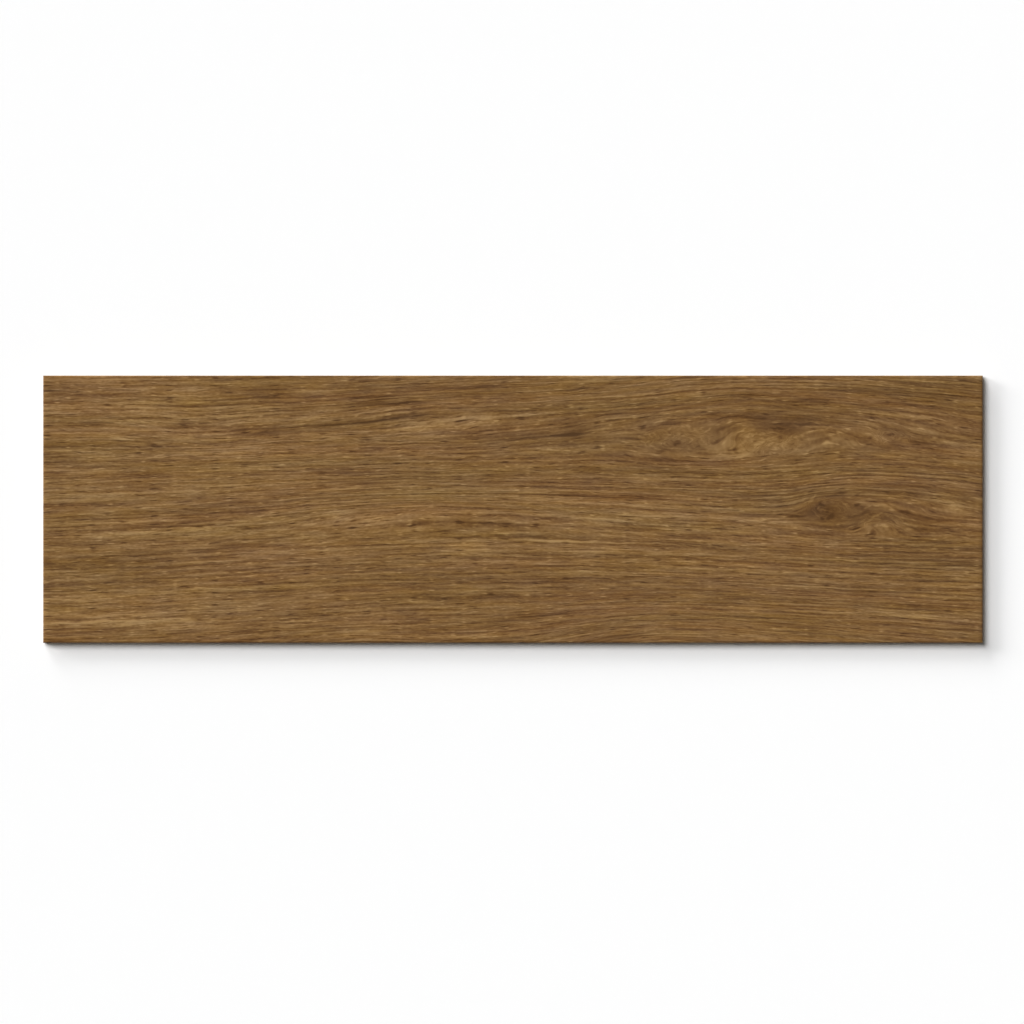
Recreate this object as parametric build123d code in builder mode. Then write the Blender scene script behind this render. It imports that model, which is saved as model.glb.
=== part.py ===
"""Wood-look porcelain plank tile, pressed and fired in one piece.

The tile lies on its back. X runs along the plank, Y across it, and Z rises from the
plane that it lies on to the printed face. The origin is the centre of the back.
All lengths are in millimetres and all angles in degrees.
"""

import os
from math import radians, tan

from build123d import *

# The plank: its size over the upright band, which is its widest outline.
tile_length = 615.0
tile_width = 175.0
tile_thickness = 9.0

# The rim, from the face down: an eased edge that the glaze runs over, an upright band
# that sets the grout joint, and a drafted skirt that lets the tile leave the mould.
face_edge_radius = 1.2
upright_band_height = 3.6
skirt_draft = 5.0
back_edge_bevel = 0.5

# The keying grid pressed into the back, which the adhesive grips: shallow square pockets
# with cut corners and sloping walls, parted by ribs, inside a plain border.
pocket_side = 17.0
pocket_corner_cut = 2.0
pocket_depth = 0.8
pocket_wall_slope = 40.0
rib_width = 3.0
least_border = 8.5

# The rim's levels above the back, and how far the skirt draws in on its way down.
shoulder_height = tile_thickness - face_edge_radius
waist_height = shoulder_height - upright_band_height
skirt_inset = (waist_height - back_edge_bevel) * tan(radians(skirt_draft))


def section_of_blank(plane, span):
    """Draws the section of the plain blank, which is span wide, on a plane through its middle."""
    waist = span / 2
    foot = waist - skirt_inset
    with BuildSketch(plane) as section:
        with BuildLine():
            Polyline(
                (0, 0),
                (foot - back_edge_bevel, 0),
                (foot, back_edge_bevel),
                (waist, waist_height),
                (waist, shoulder_height),
            )
            CenterArc((waist - face_edge_radius, shoulder_height), face_edge_radius, 0, 90)
            Line((waist - face_edge_radius, tile_thickness), (0, tile_thickness))
            mirror(about=Plane.YZ)
        make_face()
    return section.sketch


def pockets_that_fit(size_of_back):
    """Counts the pockets in a row that fit between the borders of the back."""
    room = size_of_back - 2 * least_border + rib_width
    return int(room // pocket_pitch)


pocket_pitch = pocket_side + rib_width
pockets_along = pockets_that_fit(tile_length)
pockets_across = pockets_that_fit(tile_width)

# One pocket, as the bump on the punch that presses it. Its walls slope, so that it lifts clear.
with BuildPart() as punch_bump:
    with BuildSketch(Plane.XY) as pocket_mouth:
        Rectangle(pocket_side, pocket_side)
        chamfer(pocket_mouth.vertices(), length=pocket_corner_cut)
    extrude(amount=pocket_depth, taper=pocket_wall_slope)

with BuildPart() as tile:
    # The blank is what the section across and the section along have in common, which
    # mitres the rim at the four corners.
    extrude(section_of_blank(Plane.YZ, tile_width), amount=tile_length / 2, both=True)
    extrude(
        section_of_blank(Plane.XZ, tile_length),
        amount=tile_width / 2,
        both=True,
        mode=Mode.INTERSECT,
    )
    # The keying grid.
    with GridLocations(pocket_pitch, pocket_pitch, pockets_along, pockets_across):
        add(punch_bump.part, mode=Mode.SUBTRACT)

tile.part.label = "tile"

os.makedirs("parts", exist_ok=True)
export_step(tile.part, "parts/tile.step")
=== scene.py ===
from math import cos, pi, radians, sin

import bmesh
import bpy
import numpy as np
from mathutils import Matrix, Vector


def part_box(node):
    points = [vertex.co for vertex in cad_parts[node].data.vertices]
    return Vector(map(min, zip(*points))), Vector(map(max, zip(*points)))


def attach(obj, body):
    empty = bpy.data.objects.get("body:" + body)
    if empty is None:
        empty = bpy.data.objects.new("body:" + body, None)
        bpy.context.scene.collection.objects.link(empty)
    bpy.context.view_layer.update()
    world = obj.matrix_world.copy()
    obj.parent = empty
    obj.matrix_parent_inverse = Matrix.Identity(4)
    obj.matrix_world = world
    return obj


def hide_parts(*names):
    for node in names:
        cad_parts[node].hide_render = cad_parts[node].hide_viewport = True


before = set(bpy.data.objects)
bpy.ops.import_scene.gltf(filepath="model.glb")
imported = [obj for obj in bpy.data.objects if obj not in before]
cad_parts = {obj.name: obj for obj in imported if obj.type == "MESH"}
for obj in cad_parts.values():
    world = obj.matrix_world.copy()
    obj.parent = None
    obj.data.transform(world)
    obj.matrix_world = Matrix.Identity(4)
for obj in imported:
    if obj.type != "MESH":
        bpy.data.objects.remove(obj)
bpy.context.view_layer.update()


# The tile: a plank of porcelain stoneware, pressed from dry powder in one stroke and fired
# once. Its face is stamped with an oak grain, printed with the same grain by ink jet and
# sealed by a matt glaze that runs over the eased edge. The back keeps the grid of the punch.
# The scene is in metres.
mm = 0.001
tile_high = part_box("tile")[1]
half_length = tile_high.x
half_width = tile_high.y
thickness = tile_high.z

# The rim's profile, from the face down, as in the pressing die.
face_edge_radius = 1.2 * mm
face_edge_steps = 3
upright_band_height = 3.6 * mm
skirt_draft = radians(5.0)
back_edge_bevel = 0.5 * mm
shoulder_height = thickness - face_edge_radius
waist_height = shoulder_height - upright_band_height
skirt_inset = (waist_height - back_edge_bevel) * sin(skirt_draft) / cos(skirt_draft)

# The keying grid of the back.
pockets_along = 30
pockets_across = 8
pocket_pitch = 20.0 * mm
rib_width = 3.0 * mm
pocket_depth = 0.8 * mm
pocket_wall_slope = radians(40.0)
pocket_corner = 2.0 * mm

# The face is a fine grid, closer across the grain than along it, to hold the stamped relief.
column_step = 2.7 * mm
row_step = 0.55 * mm
face_length = 2 * (half_length - face_edge_radius)
face_width = 2 * (half_width - face_edge_radius)
face_level = Matrix.Translation((0, 0, thickness))

shell = bmesh.new()
bmesh.ops.create_grid(
    shell,
    x_segments=round(face_length / column_step),
    y_segments=round(face_width / row_step),
    size=0.5,
    matrix=face_level @ Matrix.Diagonal((face_length, face_width, 1, 1)),
)

# The rim is drawn down from the face's border, ring by ring: how far each ring stands
# inside the widest outline, and its height.
rings = []
for step in range(1, face_edge_steps + 1):
    turn = pi / 2 * step / face_edge_steps
    ring_height = shoulder_height + face_edge_radius * cos(turn)
    rings.append((face_edge_radius * (1 - sin(turn)), ring_height))
rings.append((0, waist_height))
rings.append((skirt_inset, back_edge_bevel))
rings.append((skirt_inset + back_edge_bevel, 0))

ring_edges = [edge for edge in shell.edges if edge.is_boundary]
ring_inset = face_edge_radius
for inset, height in rings:
    drawn = bmesh.ops.extrude_edge_only(shell, edges=ring_edges)["geom"]
    ring_verts = [part for part in drawn if isinstance(part, bmesh.types.BMVert)]
    drawn_edges = [part for part in drawn if isinstance(part, bmesh.types.BMEdge)]
    ring_edges = [edge for edge in drawn_edges if edge.is_boundary]
    grow_along = (half_length - inset) / (half_length - ring_inset)
    grow_across = (half_width - inset) / (half_width - ring_inset)
    bmesh.ops.scale(shell, verts=ring_verts, vec=(grow_along, grow_across, 1))
    bmesh.ops.translate(shell, verts=ring_verts, vec=(0, 0, height - ring_verts[0].co.z))
    ring_inset = inset

# The back: a grid of cells, each inset by half a rib and pushed in, with sloping walls.
grid_length = pockets_along * pocket_pitch
grid_width = pockets_across * pocket_pitch
back = bmesh.ops.create_grid(
    shell,
    x_segments=pockets_along,
    y_segments=pockets_across,
    size=0.5,
    matrix=Matrix.Diagonal((grid_length, grid_width, 1, 1)),
)
cells = list({face: None for vert in back["verts"] for face in vert.link_faces})
bmesh.ops.inset_individual(shell, faces=cells, thickness=rib_width / 2, use_even_offset=True)
pushed = bmesh.ops.extrude_discrete_faces(shell, faces=cells)["faces"]
pocket_side = pocket_pitch - rib_width
wall_reach = pocket_depth * sin(pocket_wall_slope) / cos(pocket_wall_slope)
floor_share = 1 - 2 * wall_reach / pocket_side
upright_edges = []
for pocket_floor in pushed:
    middle = pocket_floor.calc_center_median()
    bmesh.ops.scale(
        shell,
        verts=pocket_floor.verts,
        vec=(floor_share, floor_share, 1),
        space=Matrix.Translation(-middle),
    )
    bmesh.ops.translate(shell, verts=pocket_floor.verts, vec=(0, 0, pocket_depth))
    around = set(pocket_floor.edges)
    for vert in pocket_floor.verts:
        upright_edges += [edge for edge in vert.link_edges if edge not in around]
# The corners of the pockets are cut in two flats, from floor to mouth.
bmesh.ops.bevel(
    shell,
    geom=upright_edges,
    offset=pocket_corner,
    segments=2,
    profile=0.5,
    affect="EDGES",
    material=-1,
)
# The plain border between the grid and the rim closes the mesh.
open_edges = [edge for edge in shell.edges if edge.is_boundary]
bmesh.ops.triangle_fill(shell, use_beauty=True, edges=open_edges, normal=(0, 0, -1))
bmesh.ops.recalc_face_normals(shell, faces=shell.faces)

# The glaze covers the face and the eased edge. The facets of the eased edge meet at 30 degrees
# and are shaded as one curve.
sharp_angle = radians(31)
for face in shell.faces:
    face.smooth = True
    glazed = face.calc_center_median().z > shoulder_height
    face.material_index = 0 if glazed else 1

tile_mesh = bpy.data.meshes.new("glazed_tile")
shell.to_mesh(tile_mesh)
shell.free()
tile_mesh.set_sharp_from_angle(angle=sharp_angle)
tile = bpy.data.objects.new("glazed_tile", tile_mesh)
bpy.context.scene.collection.objects.link(tile)

# How the oak grew. Grain lines run along the plank and are lifted over knots and swells.
# Each swell is given one by one, and corrected until the grain's slopes came near those measured
# in the photograph: where it is along and across the face, how far it lifts the grain, and
# how far it reaches to the left, to the right, below and above, all in mm.
swells = (
    # The whole plank bows up in its middle.
    (-20, -20, 13, 215, 250, 300, 80),
    # The long rise to the cathedral, the cathedral and the sag under it.
    (110, 80, 11, 170, 320, 30, 60),
    (160, 66, 12, 70, 180, 20, 40),
    (84, 56, 6.5, 80, 150, 26, 12),
    (122, 33, -3.5, 42, 45, 6, 12),
    # Over and under the pair of knots at the right.
    (240, 8, 10, 54, 85, 13, 36),
    (199, 7, 2.5, 16, 50, 9, 9),
    (215, -17, -2, 40, 60, 10, 9),
    # The eyes of the dark and of the pale knot.
    (206, 1, 3, 10, 13, 5, 8),
    (242, -12, 5, 14, 16, 4, 9),
    # Two humps at the lower edge.
    (109, -95, 22, 75, 200, 30, 34),
    (-104, -93, 5, 50, 36, 20, 12),
    # The dip at the pin knot, the dark lines that climb right of it, and a low hump under them.
    (-201, 48, -3, 45, 60, 8, 20),
    (-50, 64, 4, 45, 100, 9, 11),
    (-60, -2, 7, 80, 140, 10, 13),
    # The slanting strokes of the pale swirl.
    (208, 50, 4, 34, 38, 10, 9),
    (151, 48, 2.4, 8, 11, 6, 7),
    (107, 44, 1.6, 6, 7, 3, 4),
)


def growth_at(along, across):
    """The level in the tree that shows at a place, in mm. The grain follows its level lines."""
    level = 1.0 * across
    for middle_along, middle_across, lift, left, right, below, above in swells:
        aside = along - middle_along
        over = across - middle_across
        reach_along = np.where(aside < 0, left, right)
        reach_across = np.where(over < 0, below, above)
        level -= lift * np.exp(-((aside / reach_along) ** 2) - (over / reach_across) ** 2)
    return level


# Streaks of lighter and darker wood, placed from enlarged views of the photograph:
# middle along and across the face, reach along and across the grain, all in mm, and how much
# lighter or darker, in steps of 255.
streaks = (
    # At the left end, in the upper half.
    (-302, 76.5, 14, 1.3, -18),
    (-300, 70.3, 14, 0.9, -11),
    (-307, 53.5, 6, 1.2, -14),
    (-307, 34.5, 6, 1.6, -11),
    (-304, 41, 8, 1.3, -10),
    (-307, 4.5, 5, 1.0, -14),
    (-275, 83, 28, 2.0, 7),
    (-240, 79.4, 4, 0.8, 13),
    (-280, 77, 10, 0.9, 9),
    (-253, 68, 5, 0.9, 12),
    (-240, 65, 12, 1.6, 13),
    (-242, 70, 8, 1.0, 10),
    (-215, 75.5, 13, 2.5, 8),
    (-226, 61.5, 9, 1.0, 13),
    (-212, 58, 12, 1.4, 13),
    (-185, 60.5, 14, 0.9, 12),
    (-172, 57, 12, 1.3, 11),
    (-300, 66, 12, 2.5, 7),
    (-165, 76, 24, 4.0, -13),
    (-182, 69, 34, 1.0, -9),
    (-222, 67, 20, 0.8, -10),
    (-278, 74, 30, 1.0, -8),
    (-278, 68.5, 14, 1.0, -9),
    (-215, 54.5, 24, 1.5, -9),
    (-180, 52, 12, 1.1, -13),
    (-161, 50, 15, 1.4, -20),
    # Round the pin knot.
    (-210, 39.5, 14, 1.2, -8),
    (-268, 46, 18, 1.0, -8),
    (-252, 46.3, 6, 0.7, 15),
    (-215, 46.5, 12, 2.0, 8),
    (-227, 35, 7, 0.9, 12),
    # Under it.
    (-290, 38.5, 13, 1.0, 14),
    (-262, 34.5, 20, 1.2, 11),
    (-287, 31.5, 16, 0.8, -10),
    (-300, 24.3, 12, 0.9, -11),
    (-240, 24, 18, 4.0, -6),
    (-172, 16, 22, 2.6, 7),
    (-205, 24.5, 14, 0.8, 9),
    (-212, 12, 12, 0.8, 9),
    (-272, 8.5, 22, 1.8, 7),
    (-225, 3.5, 18, 1.0, 12),
    (-180, 4, 22, 1.5, -11),
    (-162, 6, 16, 1.0, -9),
    (-212, 0.5, 25, 1.0, -9),
    # At the left end, in the lower half.
    (-268, -14, 14, 1.0, -10),
    (-243, -11.8, 16, 1.2, -13),
    (-210, -9.5, 14, 0.7, -10),
    (-258, -16.5, 26, 1.6, 14),
    (-225, -14.5, 26, 1.0, 9),
    (-190, -13, 22, 0.8, 12),
    (-245, -24, 14, 0.9, 13),
    (-205, -20.5, 18, 0.6, -12),
    (-200, -27.5, 6, 1.4, -13),
    (-187, -25, 14, 1.0, -15),
    (-168, -23, 12, 1.2, -11),
    (-185, -21.8, 16, 0.6, 10),
    (-175, -30.8, 6, 0.7, 12),
    (-230, -38, 22, 1.0, -11),
    (-245, -42, 60, 6.0, -4),
    (-306, -54, 6, 2.0, -13),
    (-153, -53, 10, 1.6, -11),
    (-281, -59.5, 6, 1.4, 10),
    (-250, -69.5, 30, 1.0, 8),
    (-255, -74, 24, 2.6, 19),
    (-220, -74, 26, 2.4, 12),
    (-300, -75, 14, 1.5, 8),
    (-212, -77.5, 16, 1.0, 12),
    (-262, -79, 12, 0.7, -12),
    (-295, -81, 18, 1.0, -9),
    (-215, -81, 16, 0.9, -9),
    (-172, -76, 8, 5.0, -6),
    (-175, -79.5, 6, 0.7, -12),
    (-150, -83, 14, 2.0, -9),
    # The dark lines that climb to the right, and the light band under them.
    (-152, 52, 14, 1.4, -16),
    (-120, 55, 22, 1.2, -13),
    (-92, 58.3, 14, 1.0, -18),
    (-70, 61, 18, 1.0, -11),
    (-80, 68.7, 16, 1.1, -18),
    (-64, 70.5, 8, 0.8, -24),
    (-96, 68, 14, 1.2, -11),
    (-98, 72.3, 16, 0.8, -11),
    (-76, 66, 12, 0.9, 13),
    (-132, 63, 12, 1.0, 12),
    (-135, 59, 20, 2.0, 6),
    (-75, 79, 26, 1.6, -9),
    (-25, 79, 22, 2.2, -13),
    (-45, 80, 12, 1.4, -10),
    (-42, 54.5, 34, 2.4, 11),
    (-22, 57.5, 14, 1.0, 12),
    (-12, 60.8, 20, 1.2, 9),
    # The middle of the plank, above its long axis.
    (-20, 47, 30, 3.0, -6),
    (-50, 32.5, 16, 1.2, -9),
    (-107, 24.5, 10, 1.8, -10),
    (-125, 25, 18, 2.5, -6),
    (-80, 20, 34, 1.2, -9),
    (-95, 17, 14, 0.9, -11),
    (-75, 16.8, 12, 0.8, 9),
    (-100, 13.5, 26, 1.4, 8),
    (-42, 22.5, 14, 0.8, 9),
    (-5, 13.8, 14, 0.8, 15),
    (-60, 1.5, 26, 1.6, 8),
    (-120, 4.5, 22, 1.2, 7),
    # The middle, below it.
    (-120, -5, 26, 2.6, 6),
    (-138, -9.2, 12, 0.8, 11),
    (-142, -12, 10, 0.7, -11),
    (-112, -18.4, 18, 0.8, 12),
    (-30, -3.8, 16, 0.8, -11),
    (-23, -3.4, 5, 0.9, 20),
    (-20, -17.6, 7, 0.7, 13),
    (-6, -22, 12, 0.7, -14),
    (-20, -28, 20, 1.4, 10),
    (-125, -27.3, 30, 1.0, 9),
    (-127, -22.5, 14, 0.8, 10),
    (-100, -37, 14, 1.0, -10),
    (-82, -40, 8, 0.8, -12),
    (-50, -46, 60, 8.0, -4),
    (-40, -57, 34, 1.6, -7),
    (-27, -59.6, 8, 0.7, 12),
    (-100, -57, 34, 1.0, -8),
    (-80, -65.5, 12, 0.8, -10),
    (-112, -78.6, 14, 0.8, -13),
    (-123, -80, 8, 0.8, -15),
    (-93, -82.3, 26, 1.1, 16),
    (-22, -75.5, 20, 1.0, -14),
    (-5, -73, 10, 2.0, -10),
    (-20, -82, 20, 1.0, 8),
    # The left flank of the cathedral.
    (0, 50, 20, 1.8, -12),
    (20, 47, 24, 3.2, -11),
    (38, 49, 9, 1.5, -26),
    (48, 52.3, 8, 1.0, -14),
    (40, 56.5, 14, 2.0, -12),
    (70, 63, 15, 1.5, -15),
    (90, 65.8, 9, 2.0, -18),
    (112, 67, 16, 1.6, -10),
    (135, 69, 22, 2.0, -7),
    (62, 56, 12, 3.4, 7),
    (78, 53, 12, 3.0, 6),
    (95, 59, 10, 1.0, 10),
    (45, 44, 24, 1.6, -11),
    (24, 38, 18, 0.9, 11),
    (70, 33, 22, 4.0, -8),
    (130, 62, 3, 1.0, -14),
    (105, 84, 34, 1.2, 9),
    (120, 80.8, 30, 0.7, -9),
    # Under it.
    (95, 26.5, 14, 0.8, -15),
    (110, 27.5, 12, 0.8, -10),
    (115, 39, 16, 1.4, -8),
    (112, 34.6, 22, 0.6, 10),
    (148, 35.2, 10, 0.7, 14),
    (20, 20.3, 30, 1.0, 8),
    (5, 16, 10, 1.0, -10),
    (60, 17.5, 12, 1.6, 7),
    (115, 16.5, 10, 1.4, -10),
    (40, 9, 24, 1.2, -12),
    (85, 8, 30, 2.0, -8),
    (22, 6, 12, 1.0, 16),
    (50, 4, 14, 1.3, 15),
    (75, 3, 18, 1.2, 9),
    # Right of the middle, in the lower half.
    (10, -5.8, 16, 0.8, 10),
    (62, -7.5, 20, 1.2, 12),
    (95, -4.5, 22, 1.6, 8),
    (60, -17, 24, 1.0, -8),
    (105, -16.3, 18, 0.9, -13),
    (125, -17.5, 10, 1.2, -13),
    (20, -18.7, 16, 0.7, -11),
    (38, -21, 34, 0.8, 15),
    (45, -28, 34, 1.2, 11),
    (118, -26.5, 9, 0.8, 12),
    (135, -29, 10, 1.0, -11),
    (114, -34.8, 7, 1.0, 11),
    (25, -36.8, 26, 0.8, -9),
    (85, -41.5, 8, 0.9, 11),
    (40, -46, 60, 6.0, -3),
    (114, -47, 5, 0.8, 15),
    (120, -53, 20, 1.0, -10),
    (147, -58, 14, 1.8, -9),
    (14, -70.3, 22, 1.1, -18),
    (18, -73.5, 24, 1.2, 12),
    (85, -69.5, 14, 0.8, -10),
    (120, -66.5, 26, 0.8, 9),
    (135, -62, 18, 1.8, -9),
    (100, -75.5, 24, 1.0, -10),
    (115, -78.5, 14, 1.1, -14),
    (65, -84, 16, 3.0, -16),
    (78, -82.5, 12, 1.8, -12),
    (87, -79, 10, 0.8, 10),
    (135, -82, 14, 1.2, -10),
    # The pale swirl and the dark wood over it.
    (166, 43, 15, 5, 7),
    (190, 38, 14, 3.0, 5),
    (220, 43.5, 13, 2.0, 9),
    (175, 54, 22, 2.0, -11),
    (190, 58, 26, 3.0, -9),
    (165, 65, 22, 5.0, -6),
    (197, 72, 8, 1.6, -10),
    # At the right end, in the upper half.
    (245, 52.5, 5, 0.9, -19),
    (248, 48, 6, 1.8, -12),
    (251, 42, 5, 1.2, -11),
    (238, 46, 6, 1.8, 9),
    (265, 53, 6, 1.6, 7),
    (268, 49, 16, 1.2, -10),
    (287, 43.3, 6, 0.8, 15),
    (303, 38, 10, 2.6, 9),
    (232, 66.5, 10, 0.8, -11),
    (230, 78, 26, 2.4, -9),
    (290, 78.5, 18, 1.0, -13),
    (265, 76, 20, 2.0, -7),
    (298, 66, 12, 3.0, -6),
    (225, 84.5, 26, 1.2, 10),
    (195, 23.5, 24, 0.7, 9),
    (225, 26, 30, 0.7, -9),
    (232, 18.8, 24, 1.0, 10),
    (280, 17.8, 9, 0.9, 12),
    (245, 15.5, 22, 0.9, -13),
    (275, 13, 20, 1.1, -13),
    (240, 11.5, 26, 1.4, -11),
    (296, 8, 9, 1.1, -17),
    (306, 10, 5, 1.0, -12),
    # The dark knot and the pale knot.
    (207, 9, 10, 1.6, -10),
    (203, 2, 7, 3.0, -8),
    (205, -4, 10, 3.6, -11),
    (193, -6, 10, 2.0, -10),
    (183, -3.5, 8, 1.6, -12),
    (160, -4, 10, 1.4, -10),
    (212, -8.5, 8, 1.2, -9),
    (225, -5.5, 7, 2.0, -10),
    (256, 6, 13, 1.0, 16),
    (275, 5, 10, 1.1, 12),
    (287, 2, 6, 2.2, 18),
    (292, -1, 6, 1.6, 10),
    (257, -1.5, 7, 1.4, -11),
    (270, -6, 14, 1.4, -15),
    (242, -10, 8, 3, 6),
    (165, -8.3, 12, 0.9, 12),
    (185, -9.5, 12, 0.9, 10),
    (197, -12.5, 14, 1.6, 11),
    (215, -13.5, 16, 2.0, 9),
    # At the right end, in the lower half.
    (275, -17, 22, 1.0, 8),
    (275, -21, 22, 1.6, -8),
    (205, -22.5, 12, 1.0, 11),
    (185, -33, 8, 1.4, -12),
    (233, -30, 22, 1.4, -9),
    (225, -33.5, 6, 0.7, 14),
    (296, -36, 8, 1.6, -10),
    (248, -48.5, 8, 0.9, 9),
    (230, -54, 24, 1.5, -11),
    (212, -60, 14, 0.7, 10),
    (185, -63.5, 22, 1.0, -10),
    (245, -68.5, 22, 1.6, 13),
    (270, -70, 22, 1.4, 8),
    (240, -75.5, 8, 0.8, -13),
    (257, -76, 6, 0.8, -14),
    (275, -62, 30, 3.0, -5),
    (296, -72, 10, 1.2, 9),
    (297, -79, 12, 1.3, -17),
    (180, -76, 22, 1.5, -13),
    (177, -78.5, 9, 0.9, 12),
    (187, -84, 12, 1.2, 9),
    # Broad lighter and darker areas under the streaks, from left to right.
    (-240, 20, 110, 80, 3),
    (250, 30, 80, 60, -3),
    (-250, 66, 60, 9, 5),
    (-220, 48, 35, 5, 6),
    (-180, 36, 40, 6, 5),
    (-200, -5, 40, 3, -6),
    (-250, -33, 90, 5, -6),
    (-230, -60, 110, 12, 5),
    (-220, -76, 40, 4, 5),
    (-160, 58, 30, 4, 4),
    (-120, -80, 30, 5, 8),
    (-100, 50, 40, 3, 4),
    (-90, -6, 55, 4, 9),
    (-60, 75, 60, 5, -7),
    (-15, 77, 22, 4, -6),
    (20, 10, 30, 5, 6),
    (80, -5, 50, 3, 5),
    (155, -12, 35, 5, 7),
    (160, 6, 30, 3, -6),
    (170, 45, 14, 6, 4),
    (190, 66, 35, 7, -3),
    (195, 26, 30, 4, 6),
    (200, -22, 30, 4, 5),
    (240, -5, 15, 3, -8),
    (240, -54, 40, 5, -5),
    (270, -32, 40, 5, -6),
    (270, 70, 40, 12, -6),
    (-290, -4, 22, 3, -8),
    (-290, 48, 20, 2, -6),
    (-300, -65, 12, 3, -5),
    (-275, -12, 25, 3, 5),
    (-270, -45, 22, 1.5, 5),
    (-270, -51, 25, 1.5, -6),
    (-260, 57, 20, 1.5, 6),
    (-230, -43, 20, 2, 4),
    (-210, 50, 25, 1.5, -5),
    (-210, -9, 20, 3, -5),
    (-200, -71, 20, 1.6, 5),
    (-190, 32, 30, 2, 3),
    (-175, -60, 25, 1.5, -4),
    (-130, 30, 20, 3, -3),
    (-130, -66, 25, 1.5, 4),
    (-130, -27, 40, 3, 4),
    (-120, 3, 40, 3.5, 5),
    (-100, 12, 20, 3, 3),
    (-80, 72, 30, 5, -3),
    (-65, 62, 20, 2, 4),
    (-35, -51, 25, 1.5, -4),
    (-5, 72, 15, 3, -5),
    (30, 3, 50, 3, 7),
    (30, 52, 30, 5, -4),
    (50, -36, 20, 3, -5),
    (70, -8, 30, 2, 5),
    (70, 58, 30, 3, -6),
    (100, 36, 13, 4, -7),
    (100, -82, 30, 3, -4),
    (125, 52, 12, 7, 4),
    (130, 24, 25, 4, 5),
    (190, 17, 30, 2.5, 6),
    (203, -4, 16, 4.5, -12),
    (204, 3, 10, 3.0, -8),
    (225, 8, 36, 2.5, -5),
    (230, 46, 10, 2, -5),
    (240, 55, 15, 4, 6),
    (260, -68, 45, 2, 6),
    (270, 36, 35, 5, 4),
    (270, -28, 30, 4, 4),
    (270, -78, 30, 3, -5),
)

# Where the grain curls round an eye: the middle of the curl along and across, its reach along
# and across, the middle of its rings along and across, all in mm, how far the rings are drawn
# out to the left and to the right, and how they slant, in degrees.
curls = (
    (108, 46, 24, 9, 104, 43.5, 2.4, 5.0, 5),
    (170, 45, 24, 10, 157, 43, 1.5, 4.5, 14),
    (207, 0, 17, 8.5, 203, 0, 1.3, 4.0, -5),
    (242, -9, 15, 6.5, 240, -13, 2.4, 3.0, -3),
    (248, 48, 13, 7, 245, 48, 1.8, 4.0, -10),
)
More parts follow.
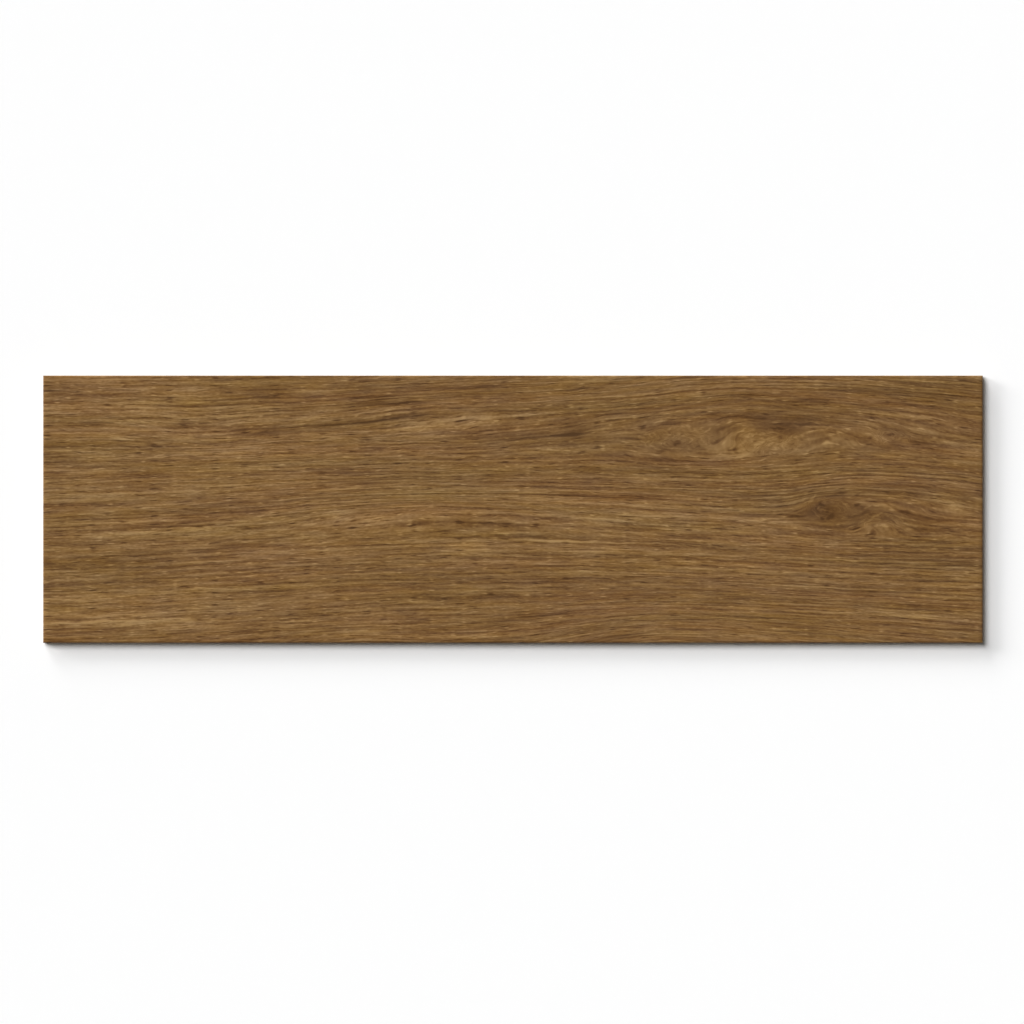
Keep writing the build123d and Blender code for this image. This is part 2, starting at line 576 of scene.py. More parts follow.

# Single strokes of the curls, placed in the same way: middle along and across, half
# length and half width, all in mm, the slant in degrees, and how much lighter or darker, in
# steps of 255.
strokes = (
    # The pale swirl.
    (145, 52.3, 6, 1.6, 22, -12),
    (149, 51, 5, 1.0, 25, 14),
    (156.5, 52, 3.5, 0.9, 0, 12),
    (148.5, 49.2, 4, 0.9, 28, -9),
    (154.5, 48.3, 6, 1.5, 8, 15),
    (164, 49.6, 8, 0.9, 5, 11),
    (171, 50.4, 5, 0.9, -12, 10),
    (174, 47, 4.5, 1.8, 0, -17),
    (173, 53, 7, 1.0, -3, -13),
    (171.5, 57, 4.5, 0.9, 0, 17),
    (184, 54.8, 5.5, 1.0, -3, 16),
    (191.5, 53.8, 4, 1.0, 0, 12),
    (187, 48, 8, 1.1, 10, 12),
    (196, 50.8, 10, 1.2, 13, 13),
    (205, 52.3, 6, 1.0, 18, 9),
    (198, 46.5, 11, 1.1, 10, 10),
    (209, 49, 6, 0.9, 10, 12),
    (161, 43, 4.5, 1.5, 16, 16),
    (158.8, 41.4, 2, 1.0, 45, 12),
    (168.5, 43, 4, 1.3, 18, 12),
    (178.5, 43.5, 5, 2.4, 30, 10),
    (165.5, 45.5, 2.5, 0.8, 0, 13),
    (172, 39.5, 4, 1.5, 0, 12),
    (172.5, 36.5, 3.5, 1.0, -5, 13),
    (182, 38.8, 2.5, 1.0, 0, -11),
    (183, 42.5, 2, 1.0, 40, -10),
    (153, 37.5, 3, 1.0, 0, -10),
    (166.5, 37, 1.8, 1.0, 30, -10),
    (150, 43, 4.5, 1.0, 35, 11),
    (147, 46.5, 6, 1.8, 0, -10),
    (152, 34.6, 7, 0.8, 0, 13),
    # The whorl to the left of it.
    (96, 57, 7, 1.3, 24, 11),
    (104, 59.5, 7, 0.9, 8, 11),
    (102, 52.5, 4, 0.9, 35, 10),
    (110, 54.3, 8, 1.0, 0, 11),
    (127.5, 51.8, 4, 0.9, 32, 17),
    (112.5, 48.3, 3.5, 1.0, 10, 14),
    (101.5, 49, 4, 0.8, 0, 12),
    (107, 48.5, 4, 0.8, 25, 8),
    (119, 51.5, 7, 0.8, 0, 9),
    (107.5, 43.3, 3.5, 2.2, 20, -17),
    (121, 41.5, 2.2, 1.3, 30, -13),
    (97.5, 43, 4, 0.8, 0, 11),
    (89.5, 41.7, 4.5, 0.9, -5, 11),
    (85.5, 43.6, 3, 0.9, -32, 10),
    (95, 39, 4, 0.8, 0, 11),
    (96.5, 37.7, 4, 0.8, 0, -13),
    (104.5, 39.7, 5, 0.9, 0, 10),
    (84, 47.5, 3.5, 1.2, -20, 11),
    (122, 47.5, 5, 0.9, 15, 10),
    (124, 38, 8, 0.8, -2, 10),
    # The dark knot.
    (190, 6.3, 4, 0.8, 28, 10),
    (195.5, 6.2, 3.5, 1.2, 38, 14),
    (197, 8.3, 3.5, 0.8, 30, 10),
    (202, 3, 3, 1.3, -35, -20),
    (203.2, 4.2, 2.2, 0.8, 5, 13),
    (199.8, 0.9, 1.8, 0.9, 70, 13),
    (203.5, -0.9, 5, 0.7, -3, 11),
    (207.5, -1.3, 2, 0.8, 0, 11),
    (202.5, -6, 2, 0.9, 0, -15),
    (208, -5.4, 4, 1.8, 25, -15),
    (198.5, -3.5, 4, 0.7, -45, 8),
    (185, -4.6, 8, 1.4, 0, -13),
    (212, 9.7, 10, 1.1, 12, -11),
    (225.5, 3, 2.8, 1.4, 0, -20),
    (227, 5.5, 5, 0.8, 0, 10),
    (217.5, 3.5, 2.6, 0.9, 0, 11),
    (222, 8.5, 8, 0.9, 12, 10),
    (232, 1.6, 4, 1.0, 25, 11),
    (228, -3, 9, 1.4, 17, -12),
    (217, -5.8, 3, 0.9, 15, 11),
    # The pale knot.
    (238, -4, 5, 0.9, 20, 14),
    (228.5, -8, 4, 1.0, 36, 12),
    (234.5, -6.6, 4, 0.8, 34, 10),
    (251.5, -4.7, 4, 0.8, -35, 12),
    (254, -7.2, 3, 0.7, -38, 9),
    (242.5, -10.5, 5, 2.0, -10, 15),
    (237.5, -11, 3, 1.6, 62, 12),
    (244, -6.2, 6, 1.3, -6, -12),
    (249.5, -8.6, 3.4, 1.1, -50, -9),
    (256, -1.5, 6, 1.2, -8, -15),
    (256, -9.2, 6, 0.8, -8, 9),
    (259, -13.2, 4, 1.0, 0, 10),
    (234.4, -16.1, 3.4, 1.4, 0, 30),
    (253.6, -14.8, 3.2, 1.3, 0, 30),
    # The small whorl near the right end.
    (242.5, 46.5, 3.5, 0.9, -25, 14),
    (245, 44.9, 3.2, 0.7, 12, 11),
    (238, 47.5, 5, 1.0, 20, 9),
    (247, 49, 3.5, 1.2, 0, -15),
    (252, 52, 6, 1.0, -14, -10),
    # The dark lines that climb to the right, in the upper left half.
    (-77, 68.6, 19, 1.2, 9, -14),
    (-71, 69.8, 9, 0.8, 10, -12),
    (-113, 56, 24, 1.2, 7, -8),
    (-72, 61, 20, 1.2, 6, -7),
    # The pin knot at the left.
    (-257, 46.4, 13, 0.9, -9, 13),
    (-235.5, 42.2, 9, 1.5, -15, -17),
    (-241, 39.2, 9, 1.1, -16, -13),
    (-239, 40.9, 7, 0.7, -16, 11),
    (-229, 35.8, 7, 0.9, 10, 14),
)

# What the relief and the print read from the mesh is worked out at every vertex, in mm.
places = np.empty(len(tile_mesh.vertices) * 3)
tile_mesh.vertices.foreach_get("co", places)
places = places.reshape(-1, 3) / mm
along, across, height = places.T
growth = growth_at(along, across)


def share_of(one_curl, along, across):
    """How strongly a curl holds a place: one in its middle, fading to nothing outside it."""
    middle_along, middle_across, reach_along, reach_across = one_curl[:4]
    aside = (along - middle_along) / reach_along
    over = (across - middle_across) / reach_across
    return np.exp(-(aside ** 2) - over ** 2)


def level_at(along, across):
    """The growth that a streak follows. In a curl it runs straight on instead of round and round."""
    growth = growth_at(along, across)
    level = 1.0 * growth
    for one_curl in curls:
        lag = one_curl[1] - growth_at(one_curl[0], one_curl[1])
        level += share_of(one_curl, along, across) * (across - growth - lag)
    return level


level = level_at(along, across)

# The streaks' edges waver along the grain, by less than a millimetre.
long_waver = 0.45 * np.sin(along / 7.3 + growth / 3.7)
short_waver = 0.3 * np.sin(along / 3.9 - growth / 2.1)
wavering_level = level + long_waver + short_waver
tone = np.zeros_like(growth)
for middle_along, middle_across, reach_along, reach_across, shade in streaks:
    aside = (along - middle_along) / reach_along
    over = (wavering_level - level_at(middle_along, middle_across)) / reach_across
    # Lines of the same level come back elsewhere, so the streak also ends well across the face.
    farthest = 3 * reach_across + 12
    near = aside ** 2 + over ** 2 + ((across - middle_across) / farthest) ** 4
    tone += shade * np.exp(-near)

# Each place belongs to its strongest curl and lies on one of that curl's rings.
curl = np.zeros_like(growth)
ring = np.zeros_like(growth)
for one_curl in curls:
    share = share_of(one_curl, along, across)
    eye_along, eye_across, drawn_left, drawn_right, slant = one_curl[4:]
    lean = radians(slant)
    beside = (along - eye_along) * cos(lean) + (across - eye_across) * sin(lean)
    over = (across - eye_across) * cos(lean) - (along - eye_along) * sin(lean)
    stretch = np.where(beside < 0, drawn_left, drawn_right)
    ring_here = np.hypot(beside / stretch, over)
    ring = np.where(share > curl, ring_here, ring)
    curl = np.maximum(share, curl)

# The punch presses its full depth inside the face, and nothing at the eased edge.
fade_width = 2.5
level_tolerance = 0.01
to_short_edge = face_length / (2 * mm) - abs(along)
to_long_edge = face_width / (2 * mm) - abs(across)
to_edge = np.minimum(to_short_edge, to_long_edge)
on_face = height > thickness / mm - level_tolerance
pressed = np.clip(to_edge / fade_width, 0, 1) * on_face

vertex_values = {
    "growth": growth,
    "tone": tone,
    "curl": curl,
    "ring": ring,
    "pressed": pressed,
}
for name, values in vertex_values.items():
    attribute = tile_mesh.attributes.new(name, "FLOAT", "POINT")
    attribute.data.foreach_set("value", values.astype(np.float32))


def add(tree, kind, inputs=None, **settings):
    """Adds a node with its settings. An input is given a value, a socket or a node's first output."""
    made = tree.nodes.new(kind)
    for name, value in settings.items():
        setattr(made, name, value)
    for key, value in (inputs or {}).items():
        if isinstance(value, bpy.types.Node):
            value = value.outputs[0]
        if isinstance(value, bpy.types.NodeSocket):
            tree.links.new(value, made.inputs[key])
        else:
            made.inputs[key].default_value = value
    return made


def colour(code):
    """Turns an sRGB hex colour into the linear colour that a shader takes."""
    linear = []
    for start in (1, 3, 5):
        level = int(code[start:start + 2], 16) / 255
        linear.append(level / 12.92 if level <= 0.04045 else ((level + 0.055) / 1.055) ** 2.4)
    return (*linear, 1.0)


# The grain's layers, from broad bands to single fibres: length along and width across the
# grain in mm, and how strongly each is printed, in steps of 255. A printed fibre is 0.1 to
# 0.3 mm wide, too fine to show, so the finest ones are drawn 0.6 mm wide. How strong each
# size is follows the photograph's texture.
broad_layers = (
    (290, 18, 4),
    (400, 1.9, 10),
    (145, 1.4, 15),
    (72, 2.4, 8),
    (36, 1.4, 13),
    (30, 2.6, 8),
)
fine_layers = (
    (18, 0.9, 10),
    (9, 1.0, 9),
    (9, 0.6, 7),
    (2.5, 0.6, 8),
    (2.5, 1.0, 5),
)
# Vessels and cream flecks are short thin dashes where a layer of its own rises high: length
# and width in mm, the height at which they start, and how much darker or lighter they get.
dash_layers = (
    (10, 0.8, 0.19, -190),
    (7, 0.8, 0.2, 180),
)
# The short strokes on the rings of a curl, which take the place of the layers above.
curl_layers = (
    (12, 2.0, 7),
    (6, 0.9, 15),
    (2.6, 0.6, 15),
)
# How fibres wander off the growth, and rings off their ellipse: length, width and amount in mm.
fibre_sways = (
    (42, 14, 1.0),
    (15, 7, 0.5),
    (6, 3, 0.17),
)
ring_sways = (
    (9, 4, 4.5),
    (4, 1.6, 1.6),
)


def lay_noise(tree, lines, length, width, shift):
    """Adds one layer of grain: a value round zero that reaches about a third either way."""
    stretched = add(
        tree,
        "ShaderNodeVectorMath",
        {0: lines, 1: (1 / length, 1 / width, 0), 2: (shift, 7.9 * shift, 0)},
        operation="MULTIPLY_ADD",
    )
    noise = add(
        tree,
        "ShaderNodeTexNoise",
        {"Vector": stretched, "Scale": 1.0, "Detail": 0.0},
        noise_dimensions="2D",
    )
    return add(tree, "ShaderNodeMath", {0: noise, 1: 0.5}, operation="SUBTRACT")


def lay_layers(tree, lines, layers, first_shift):
    """Adds up several layers of grain, each shifted so that no two look alike."""
    total = 0.0
    for step, (length, width, strength) in enumerate(layers):
        layer = lay_noise(tree, lines, length, width, 5.3 * step + first_shift)
        terms = {0: layer, 1: 2.0 * strength, 2: total}
        total = add(tree, "ShaderNodeMath", terms, operation="MULTIPLY_ADD")
    return total


def lay_grain(tree, position, growth, curl, ring):
    """Adds the nodes of the grain to a tree and returns its broad and its fine tone."""
    apart = add(tree, "ShaderNodeSeparateXYZ", {0: position})
    along = add(tree, "ShaderNodeMath", {0: apart.outputs["X"], 1: 1 / mm}, operation="MULTIPLY")
    across = add(tree, "ShaderNodeMath", {0: apart.outputs["Y"], 1: 1 / mm}, operation="MULTIPLY")
    # Fibres wander a little, and more where the grain curls.
    loose = add(tree, "ShaderNodeMath", {0: curl, 1: 0.6, 2: 1.2}, operation="MULTIPLY_ADD")
    spot = add(tree, "ShaderNodeCombineXYZ", {"X": along, "Y": growth})
    wander = growth
    for shift, (length, width, amount) in enumerate(fibre_sways):
        sway = lay_noise(tree, spot, length, width, 3.7 * shift + 0.3)
        scaled = add(tree, "ShaderNodeMath", {0: sway, 1: amount}, operation="MULTIPLY")
        wander = add(tree, "ShaderNodeMath", {0: scaled, 1: loose, 2: wander}, operation="MULTIPLY_ADD")
    lines = add(tree, "ShaderNodeCombineXYZ", {"X": along, "Y": wander})
    broad = lay_layers(tree, lines, broad_layers, 1)
    fine = lay_layers(tree, lines, fine_layers, 32)
    for step, (length, width, start, strength) in enumerate(dash_layers):
        layer = lay_noise(tree, lines, length, width, 4.1 * step + 77)
        above = add(tree, "ShaderNodeMath", {0: layer, 1: start}, operation="SUBTRACT")
        crest = add(tree, "ShaderNodeMath", {0: above, 1: 0.0}, operation="MAXIMUM")
        fine = add(tree, "ShaderNodeMath", {0: crest, 1: strength, 2: fine}, operation="MULTIPLY_ADD")
    # Inside a curl the fibres follow its rings instead, slanted so that no two sides match.
    slanted = add(tree, "ShaderNodeMath", {0: across, 1: 0.7, 2: along}, operation="MULTIPLY_ADD")
    flat = add(tree, "ShaderNodeCombineXYZ", {"X": along, "Y": across})
    swayed = ring
    for shift, (length, width, amount) in enumerate(ring_sways):
        sway = lay_noise(tree, flat, length, width, 6.1 * shift + 61)
        swayed = add(tree, "ShaderNodeMath", {0: sway, 1: amount, 2: swayed}, operation="MULTIPLY_ADD")
    turned = add(tree, "ShaderNodeCombineXYZ", {"X": slanted, "Y": swayed})
    curled = lay_layers(tree, turned, curl_layers, 47)
    curl_share = add(
        tree,
        "ShaderNodeMapRange",
        {"Value": curl, "From Min": 0.12, "From Max": 0.6, "To Min": 0.0, "To Max": 0.85},
        interpolation_type="SMOOTHSTEP",
    )
    fine = add(tree, "ShaderNodeMix", {"Factor": curl_share, 2: fine, 3: curled}, data_type="FLOAT")
    plain_share = add(tree, "ShaderNodeMath", {0: 1.0, 1: curl_share}, operation="SUBTRACT")
    broad = add(tree, "ShaderNodeMath", {0: broad, 1: plain_share}, operation="MULTIPLY")
    return broad, fine


# The stamped relief: dark lines lie in the grooves. Ridges stay at the full thickness. A tone
# that is darker than the middle by the swing lies at the full depth.
relief_depth = 0.22 * mm
relief_swing = 34.0
punch = bpy.data.node_groups.new("grain_punch", "GeometryNodeTree")
punch.interface.new_socket("Geometry", in_out="INPUT", socket_type="NodeSocketGeometry")
punch.interface.new_socket("Geometry", in_out="OUTPUT", socket_type="NodeSocketGeometry")
blank = add(punch, "NodeGroupInput")
position = add(punch, "GeometryNodeInputPosition")
read = {}
for name in vertex_values:
    reader = add(punch, "GeometryNodeInputNamedAttribute", {"Name": name}, data_type="FLOAT")
    read[name] = reader.outputs["Attribute"]
broad, fine = lay_grain(punch, position, read["growth"], read["curl"], read["ring"])
broad = add(punch, "ShaderNodeMath", {0: broad, 1: read["tone"]}, operation="ADD")
half_fine = add(punch, "ShaderNodeMath", {0: fine, 1: 0.5, 2: broad}, operation="MULTIPLY_ADD")
depth_share = add(
    punch,
    "ShaderNodeMapRange",
    {
        "Value": half_fine,
        "From Min": -relief_swing,
        "From Max": relief_swing,
        "To Min": -relief_depth,
        "To Max": 0.0,
    },
)
drop = add(punch, "ShaderNodeMath", {0: depth_share, 1: read["pressed"]}, operation="MULTIPLY")
offset = add(punch, "ShaderNodeCombineXYZ", {"Z": drop})
stamped = add(punch, "GeometryNodeSetPosition", {"Geometry": blank, "Offset": offset})
add(punch, "NodeGroupOutput", {0: stamped})
tile.modifiers.new("grain_punch", "NODES").node_group = punch

# Matt glaze over an ink-jet oak print: dull satin without a reflection of its own, warm
# browns that turn redder as they darken, with vessels and fibres less than a millimetre wide.
glaze = bpy.data.materials.new("matt_glaze_with_oak_print")
glaze.use_nodes = True
tree = glaze.node_tree
shader = tree.nodes["Principled BSDF"]
place = add(tree, "ShaderNodeTexCoord").outputs["Object"]
read = {}
for name in vertex_values:
    read[name] = add(tree, "ShaderNodeAttribute", attribute_name=name).outputs["Fac"]
broad, fine = lay_grain(tree, place, read["growth"], read["curl"], read["ring"])

# The strokes of the curls, each a soft ellipse that wobbles a little.
to_mm = {0: place, 1: (1 / mm, 1 / mm, 0)}
flat_place = add(tree, "ShaderNodeVectorMath", to_mm, operation="MULTIPLY")
unrest = lay_noise(tree, flat_place, 5, 2, 91)
wobble = add(tree, "ShaderNodeMath", {0: unrest, 1: 1.8}, operation="MULTIPLY")
sideways = add(tree, "ShaderNodeCombineXYZ", {"Y": wobble})
wobbled = add(tree, "ShaderNodeVectorMath", {0: flat_place, 1: sideways}, operation="ADD")
apart = add(tree, "ShaderNodeSeparateXYZ", {0: wobbled})
level_place = add(tree, "ShaderNodeCombineXYZ", {"X": apart, "Y": apart.outputs["Y"], "Z": 1.0})
placed_tone = read["tone"]
for middle_along, middle_across, stroke_length, stroke_width, slant, shade in strokes:
    # How far a place is from the stroke's middle, along the stroke and across it, in half sizes.
    lean = Vector((cos(radians(slant)), sin(radians(slant)), 0))
    side = Vector((-lean.y, lean.x, 0))
    offsets = []
    for axis, reach in ((lean, stroke_length), (side, stroke_width)):
        axis.z = -(middle_along * axis.x + middle_across * axis.y)
        factors = {0: level_place, 1: axis / reach}
        dot = add(tree, "ShaderNodeVectorMath", factors, operation="DOT_PRODUCT")
        offsets.append(dot.outputs["Value"])
    squared = add(tree, "ShaderNodeMath", {0: offsets[0], 1: offsets[0]}, operation="MULTIPLY")
    terms = {0: offsets[1], 1: offsets[1], 2: squared}
    distance = add(tree, "ShaderNodeMath", terms, operation="MULTIPLY_ADD")
    stroke = add(
        tree,
        "ShaderNodeMapRange",
        {"Value": distance, "From Min": 0.0, "From Max": 1.0, "To Min": shade, "To Max": 0.0},
        interpolation_type="SMOOTHSTEP",
    )
    placed_tone = add(tree, "ShaderNodeMath", {0: placed_tone, 1: stroke}, operation="ADD")

# A placed streak is stronger where the fibres are, so it breaks up into them.
frayed = add(tree, "ShaderNodeMath", {0: fine, 1: 0.02, 2: 1.25}, operation="MULTIPLY_ADD")
terms = {0: placed_tone, 1: frayed, 2: broad}
streaked = add(tree, "ShaderNodeMath", terms, operation="MULTIPLY_ADD")
print_tone = add(tree, "ShaderNodeMath", {0: streaked, 1: fine}, operation="ADD")

# The tones at the two ends of the browns.
darkest_tone = -38.5
lightest_tone = 41.5
ramp_place = add(
    tree,
    "ShaderNodeMapRange",
    {"Value": print_tone, "From Min": darkest_tone, "From Max": lightest_tone},
)
browns = add(tree, "ShaderNodeValToRGB", {"Fac": ramp_place})
browns.color_ramp.elements[0].color = colour("#50351A")
browns.color_ramp.elements[1].color = colour("#A38152")
for step, code in ((0.25, "#674827"), (0.5, "#7D5C34"), (0.75, "#917044")):
    browns.color_ramp.elements.new(step).color = colour(code)

# Ink varies a little in hue and strength from place to place.
apart = add(tree, "ShaderNodeSeparateXYZ", {0: flat_place})
grown_place = add(tree, "ShaderNodeCombineXYZ", {"X": apart, "Y": read["growth"]})
ink_drift = lay_noise(tree, grown_place, 110, 9, 101)
ink_spots = lay_noise(tree, grown_place, 20, 3, 113)
ink_clouds = lay_noise(tree, grown_place, 120, 16, 127)
hue = add(tree, "ShaderNodeMath", {0: ink_drift, 1: 0.010, 2: 0.5}, operation="MULTIPLY_ADD")
strength = add(tree, "ShaderNodeMath", {0: ink_spots, 1: 0.09, 2: 1.0}, operation="MULTIPLY_ADD")
strength = add(tree, "ShaderNodeMath", {0: ink_clouds, 1: 0.05, 2: strength}, operation="MULTIPLY_ADD")
ink = add(tree, "ShaderNodeHueSaturation", {"Hue": hue, "Saturation": strength, "Color": browns})

# The fibres are stamped softly, the glaze has a fine grit, and it is duller where ink lies thick.
glaze_grit_size = 0.35 * mm
glaze_grit_depth = 0.012 * mm
fibre_depth_per_tone = 0.0015 * mm
grit = add(tree, "ShaderNodeTexNoise", {"Vector": place, "Scale": 1 / glaze_grit_size, "Detail": 1.0})
fibre_bump = add(
    tree,
    "ShaderNodeBump",
    {"Strength": 1.0, "Distance": fibre_depth_per_tone, "Height": fine},
)
grit_bump = add(
    tree,
    "ShaderNodeBump",
    {"Strength": 0.5, "Distance": glaze_grit_depth, "Height": grit, "Normal": fibre_bump},
)
dullness = add(
    tree,
    "ShaderNodeMapRange",
    {"Value": print_tone, "From Min": -40.0, "From Max": 40.0, "To Min": 0.82, "To Max": 0.66},
)
tree.links.new(ink.outputs["Color"], shader.inputs["Base Color"])
tree.links.new(grit_bump.outputs["Normal"], shader.inputs["Normal"])
tree.links.new(dullness.outputs["Result"], shader.inputs["Roughness"])
shader.inputs["IOR"].default_value = 1.5
shader.inputs["Specular IOR Level"].default_value = 0.15
tile_mesh.materials.append(glaze)

# Fired porcelain body: bare, dense and stone-like, warm beige with pressed granules and iron
# specks. The top of its edge is misted with brown ink, and its lowest plane keeps a pale wash.
# Real specks and pinholes are under half a millimetre wide. They are drawn coarser, to show.
body = bpy.data.materials.new("fired_porcelain_body")
body.use_nodes = True
tree = body.node_tree
shader = tree.nodes["Principled BSDF"]
place = add(tree, "ShaderNodeTexCoord").outputs["Object"]
level = add(tree, "ShaderNodeSeparateXYZ", {0: place}).outputs["Z"]
granule_size = 0.6 * mm
cloud_size = 22 * mm
iron_size = 1.2 * mm
wash_size = 8 * mm
mist_size = 2.5 * mm
pinhole_size = 1.1 * mm
drag_size = 0.8 * mm
granules = add(tree, "ShaderNodeTexNoise", {"Vector": place, "Scale": 1 / granule_size, "Detail": 0.0})
clouds = add(tree, "ShaderNodeTexNoise", {"Vector": place, "Scale": 1 / cloud_size, "Detail": 3.0})
iron = add(tree, "ShaderNodeTexNoise", {"Vector": place, "Scale": 1 / iron_size, "Detail": 0.0})
wash = add(tree, "ShaderNodeTexNoise", {"Vector": place, "Scale": 1 / wash_size, "Detail": 4.0})
mist = add(tree, "ShaderNodeTexNoise", {"Vector": place, "Scale": 1 / mist_size, "Detail": 3.0})
pinholes = add(tree, "ShaderNodeTexNoise", {"Vector": place, "Scale": 1 / pinhole_size, "Detail": 0.0})

clay = add(tree, "ShaderNodeValToRGB", {"Fac": granules})
clay.color_ramp.elements[0].position = 0.35
clay.color_ramp.elements[0].color = colour("#A08D72")
clay.color_ramp.elements[1].position = 0.65
clay.color_ramp.elements[1].color = colour("#B2A085")

# Each layer over the clay: how much of it shows, and its colour.
cloud_share = add(
    tree,
    "ShaderNodeMapRange",
    {"Value": clouds, "From Min": 0.3, "From Max": 0.7, "To Max": 0.45},
)
iron_share = add(
    tree,
    "ShaderNodeMapRange",
    {"Value": iron, "From Min": 0.72, "From Max": 0.78, "To Max": 0.7},
)
# Brown ink mist drifts down from the face over the upper part of the edge.
mist_reach = add(
    tree,
    "ShaderNodeMapRange",
    {"Value": level, "From Min": 5.0 * mm, "From Max": shoulder_height, "To Max": 1.0},
)
ragged = add(tree, "ShaderNodeMath", {0: mist_reach, 1: mist}, operation="MULTIPLY")
mist_share = add(
    tree,
    "ShaderNodeMapRange",
    {"Value": ragged, "From Min": 0.22, "From Max": 0.5, "To Max": 0.85},
)
# The wash keeps the tile from sticking to the kiln's rollers, and lies on the lowest plane only.
touched = add(
    tree,
    "ShaderNodeMapRange",
    {"Value": level, "From Min": 0.05 * mm, "From Max": 0.25 * mm, "To Min": 1.0, "To Max": 0.0},
)
rubbed = add(
    tree,
    "ShaderNodeMapRange",
    {"Value": wash, "From Min": 0.38, "From Max": 0.58, "To Min": 0.15, "To Max": 0.75},
)
wash_share = add(tree, "ShaderNodeMath", {0: touched, 1: rubbed}, operation="MULTIPLY")
shades = (
    (cloud_share, "#B6A283"),
    (iron_share, "#6A563F"),
    (mist_share, "#6E5233"),
    (wash_share, "#DCD5C6"),
)
body_colour = clay.outputs["Color"]
for share, code in shades:
    blend = {"Factor": share, 6: body_colour, 7: colour(code)}
    body_colour = add(tree, "ShaderNodeMix", blend, data_type="RGBA").outputs[2]

# The die leaves fine upright drag marks on the edge, and the powder leaves pinholes and grit.
drawn_out = add(tree, "ShaderNodeVectorMath", {0: place, 1: (1, 1, 0.07)}, operation="MULTIPLY")
drag_marks = add(
    tree,
    "ShaderNodeTexNoise",
    {"Vector": drawn_out, "Scale": 1 / drag_size, "Detail": 2.0},
)
pits = add(
    tree,
    "ShaderNodeMapRange",
    {"Value": pinholes, "From Min": 0.24, "From Max": 0.34, "To Max": 1.0},
)
normal = None
for unevenness, depth in ((drag_marks, 0.02 * mm), (pits, 0.05 * mm), (granules, 0.02 * mm)):
    dent = {"Strength": 1.0, "Distance": depth, "Height": unevenness}
    if normal:
        dent["Normal"] = normal
    normal = add(tree, "ShaderNodeBump", dent)
roughness = add(
    tree,
    "ShaderNodeMapRange",
    {"Value": granules, "From Min": 0.3, "From Max": 0.7, "To Min": 0.92, "To Max": 0.78},
)
tree.links.new(body_colour, shader.inputs["Base Color"])
tree.links.new(normal.outputs["Normal"], shader.inputs["Normal"])
tree.links.new(roughness.outputs["Result"], shader.inputs["Roughness"])
shader.inputs["Specular IOR Level"].default_value = 0.3
tile_mesh.materials.append(body)

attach(tile, "root")
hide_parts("tile")


# The floor: a plain white studio floor that the tile lies on. It is seen from above only, and
# is open under the tile, so that the back can be looked at, and is lit, from below.
floor_half = 40.0
# The floor lies a hair under the tile, so that no two faces share a plane.
floor_drop = 0.02 * mm
floor_overlap = 0.15 * mm
ground = bmesh.new()
bmesh.ops.create_grid(ground, x_segments=1, y_segments=1, size=floor_half)
ground.faces.ensure_lookup_table()
opening = ground.faces[0]
bmesh.ops.inset_region(
    ground,
    faces=[opening],
    thickness=floor_half / 2,
    use_boundary=True,
    use_even_offset=True,
)
foot_inset = skirt_inset + back_edge_bevel + floor_overlap
opening_half_length = half_length - foot_inset
opening_half_width = half_width - foot_inset
shrink = (opening_half_length / (floor_half / 2), opening_half_width / (floor_half / 2), 1)
bmesh.ops.scale(ground, verts=opening.verts, vec=shrink)
bmesh.ops.delete(ground, geom=[opening], context="FACES_ONLY")
bmesh.ops.translate(ground, verts=ground.verts, vec=(0, 0, -floor_drop))
floor_mesh = bpy.data.meshes.new("studio_floor")
ground.to_mesh(floor_mesh)
ground.free()
floor = bpy.data.objects.new("studio_floor", floor_mesh)
bpy.context.scene.collection.objects.link(floor)
white_floor = bpy.data.materials.new("matt_white_floor")
white_floor.use_nodes = True
tree = white_floor.node_tree
tree.nodes.clear()
paint = add(tree, "ShaderNodeBsdfDiffuse", {"Color": colour("#FEFEFE")})
nothing = add(tree, "ShaderNodeBsdfTransparent")
side = add(tree, "ShaderNodeNewGeometry").outputs["Backfacing"]
one_sided = add(tree, "ShaderNodeMixShader", {0: side, 1: paint, 2: nothing})
add(tree, "ShaderNodeOutputMaterial", {"Surface": one_sided})
floor_mesh.materials.append(white_floor)


# The light: large soft lamps far away to the upper left, one high and two low, side by side,
# and a weak even dome, fitted to the shadow in the photograph. The shares add up to one, at
# which a colour shows as it is written.
lamp_distance = 3.0


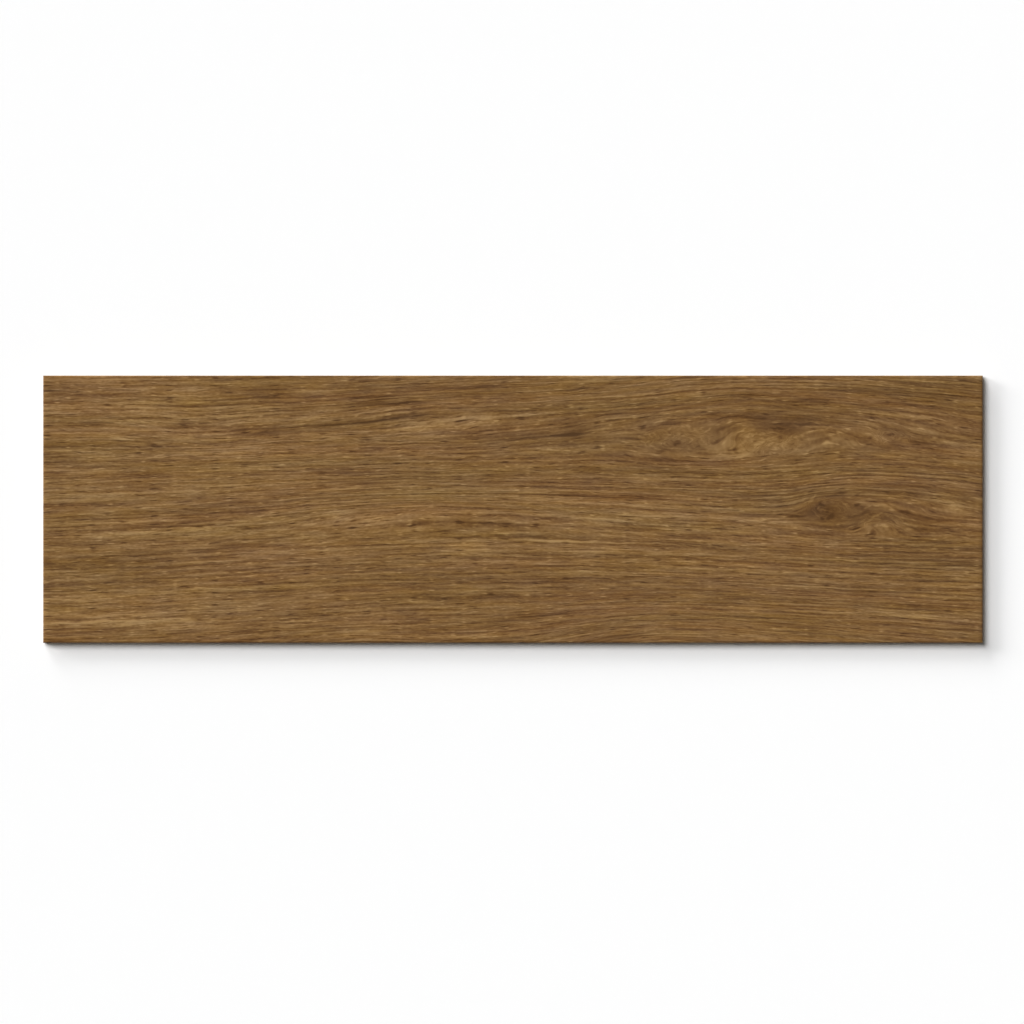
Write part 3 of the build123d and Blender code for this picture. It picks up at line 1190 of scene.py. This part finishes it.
def hang_lamp(name, from_top, bearing, softness, share):
    """Hangs a distant lamp: how far from straight above, its bearing and half width, in degrees."""
    lamp = bpy.data.lights.new(name, "SUN")
    lamp.angle = radians(2 * softness)
    lamp.energy = share * pi / cos(radians(from_top))
    tilt = radians(from_top)
    turn = radians(bearing)
    towards = Vector((sin(tilt) * cos(turn), sin(tilt) * sin(turn), cos(tilt)))
    holder = bpy.data.objects.new(name, lamp)
    holder.rotation_euler = towards.to_track_quat("Z", "Y").to_euler()
    holder.location = lamp_distance * towards
    bpy.context.scene.collection.objects.link(holder)


hang_lamp("high_lamp", from_top=26, bearing=136, softness=14, share=0.555)
hang_lamp("low_lamp_at_the_left", from_top=66, bearing=155, softness=13, share=0.205)
hang_lamp("low_lamp_at_the_top", from_top=66, bearing=120, softness=13, share=0.165)

# At the horizon and below it the dome is as white as the floor, so that the two meet unseen
# and the back is lit in views from below.
dome_share = 0.075
world = bpy.data.worlds.new("studio_dome")
world.use_nodes = True
bpy.context.scene.world = world
tree = world.node_tree
sky = tree.nodes["Background"]
direction = add(tree, "ShaderNodeTexCoord").outputs["Generated"]
upward = add(tree, "ShaderNodeSeparateXYZ", {0: direction}).outputs["Z"]
strength = add(
    tree,
    "ShaderNodeMapRange",
    {"Value": upward, "From Min": 0.05, "From Max": 0.06, "To Min": 1.0, "To Max": dome_share},
)
tree.links.new(strength.outputs[0], sky.inputs["Strength"])
sky.inputs["Color"].default_value = colour("#FFFFFF")


# The camera: straight above, through a very long lens, so that no side shows. The frame is
# square, and the tile's middle lies a little right of and above the frame's.
camera_height = 12.0
frame_span = 670.18 * mm
frame_middle_along = -0.64 * mm
frame_middle_across = -1.81 * mm
sensor_width = 36.0
view = bpy.data.cameras.new("camera")
view.sensor_width = sensor_width
view.lens = sensor_width * (camera_height - thickness) / frame_span
camera = bpy.data.objects.new("camera", view)
camera.location = (frame_middle_along, frame_middle_across, camera_height)
bpy.context.scene.collection.objects.link(camera)
bpy.context.scene.camera = camera
bpy.context.scene.view_settings.view_transform = "Standard"
